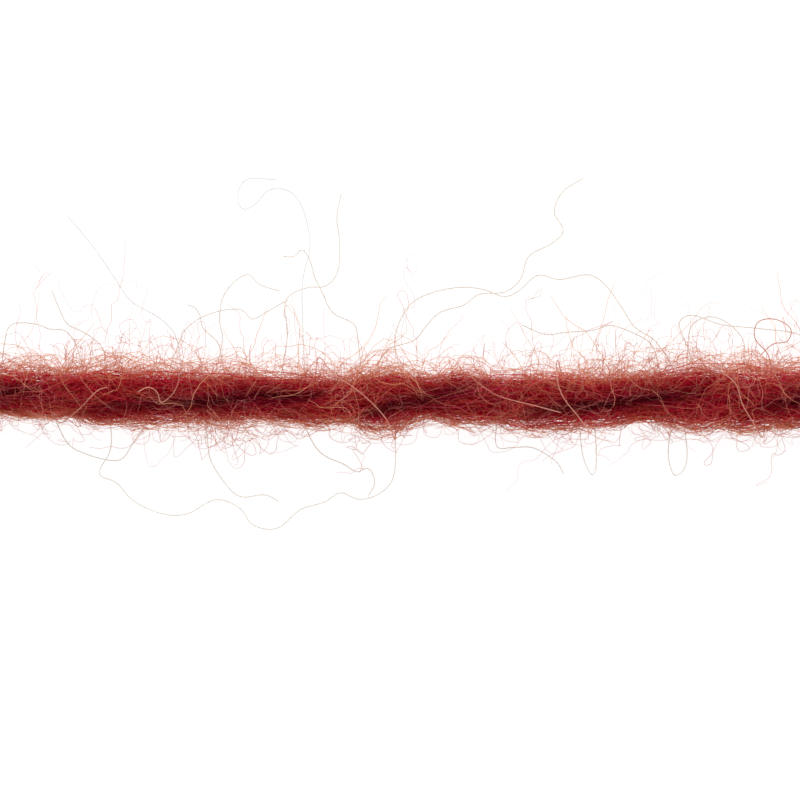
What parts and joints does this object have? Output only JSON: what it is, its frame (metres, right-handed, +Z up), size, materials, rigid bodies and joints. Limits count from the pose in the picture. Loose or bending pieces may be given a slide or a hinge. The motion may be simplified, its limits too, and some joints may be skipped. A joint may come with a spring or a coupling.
{
  "type": "length of knitting yarn",
  "caption": "Short straight cut length of loosely twisted two-ply woollen yarn with a fuzzy halo and long stray fibres, lying flat.",
  "frame": {"origin": "on the strand's flat underside, at mid-length", "axes": "+X along the strand, +Y across it, +Z up from the surface it lies on"},
  "size_m": [0.04, 0.0142, 0.0043],
  "materials": {
    "wool": "matt crimson wool, fuzzy, with paler salmon fibres at the rim",
    "stray_hair": "single translucent wool fibre, salmon to pale tan"
  },
  "bodies": {
    "root": {"yarn_strand": "wool", "stray_far_left": "stray_hair", "stray_left": "stray_hair", "stray_left_arch": "stray_hair", "stray_curl": "stray_hair", "stray_tall_arch": "stray_hair", "stray_bridge": "stray_hair", "stray_upright": "stray_hair", "stray_hook": "stray_hair", "stray_kinked": "stray_hair", "stray_longest": "stray_hair", "stray_wide_arch": "stray_hair", "stray_low_arch": "stray_hair", "stray_right_long": "stray_hair", "stray_right_arch": "stray_hair", "stray_low_left": "stray_hair", "stray_low_middle": "stray_hair", "stray_low_curl": "stray_hair", "stray_low_sweep": "stray_hair", "stray_low_right": "stray_hair", "stray_loop": "stray_hair", "stray_right_loop": "stray_hair", "stray_over_end": "stray_hair", "stray_over_left": "stray_hair", "stray_over_bend": "stray_hair", "stray_over_middle": "stray_hair", "stray_over_lobe": "stray_hair", "stray_over_right": "stray_hair", "stray_over_far_right": "stray_hair", "stray_right_curl": "stray_hair"}
  },
  "joints": []
}
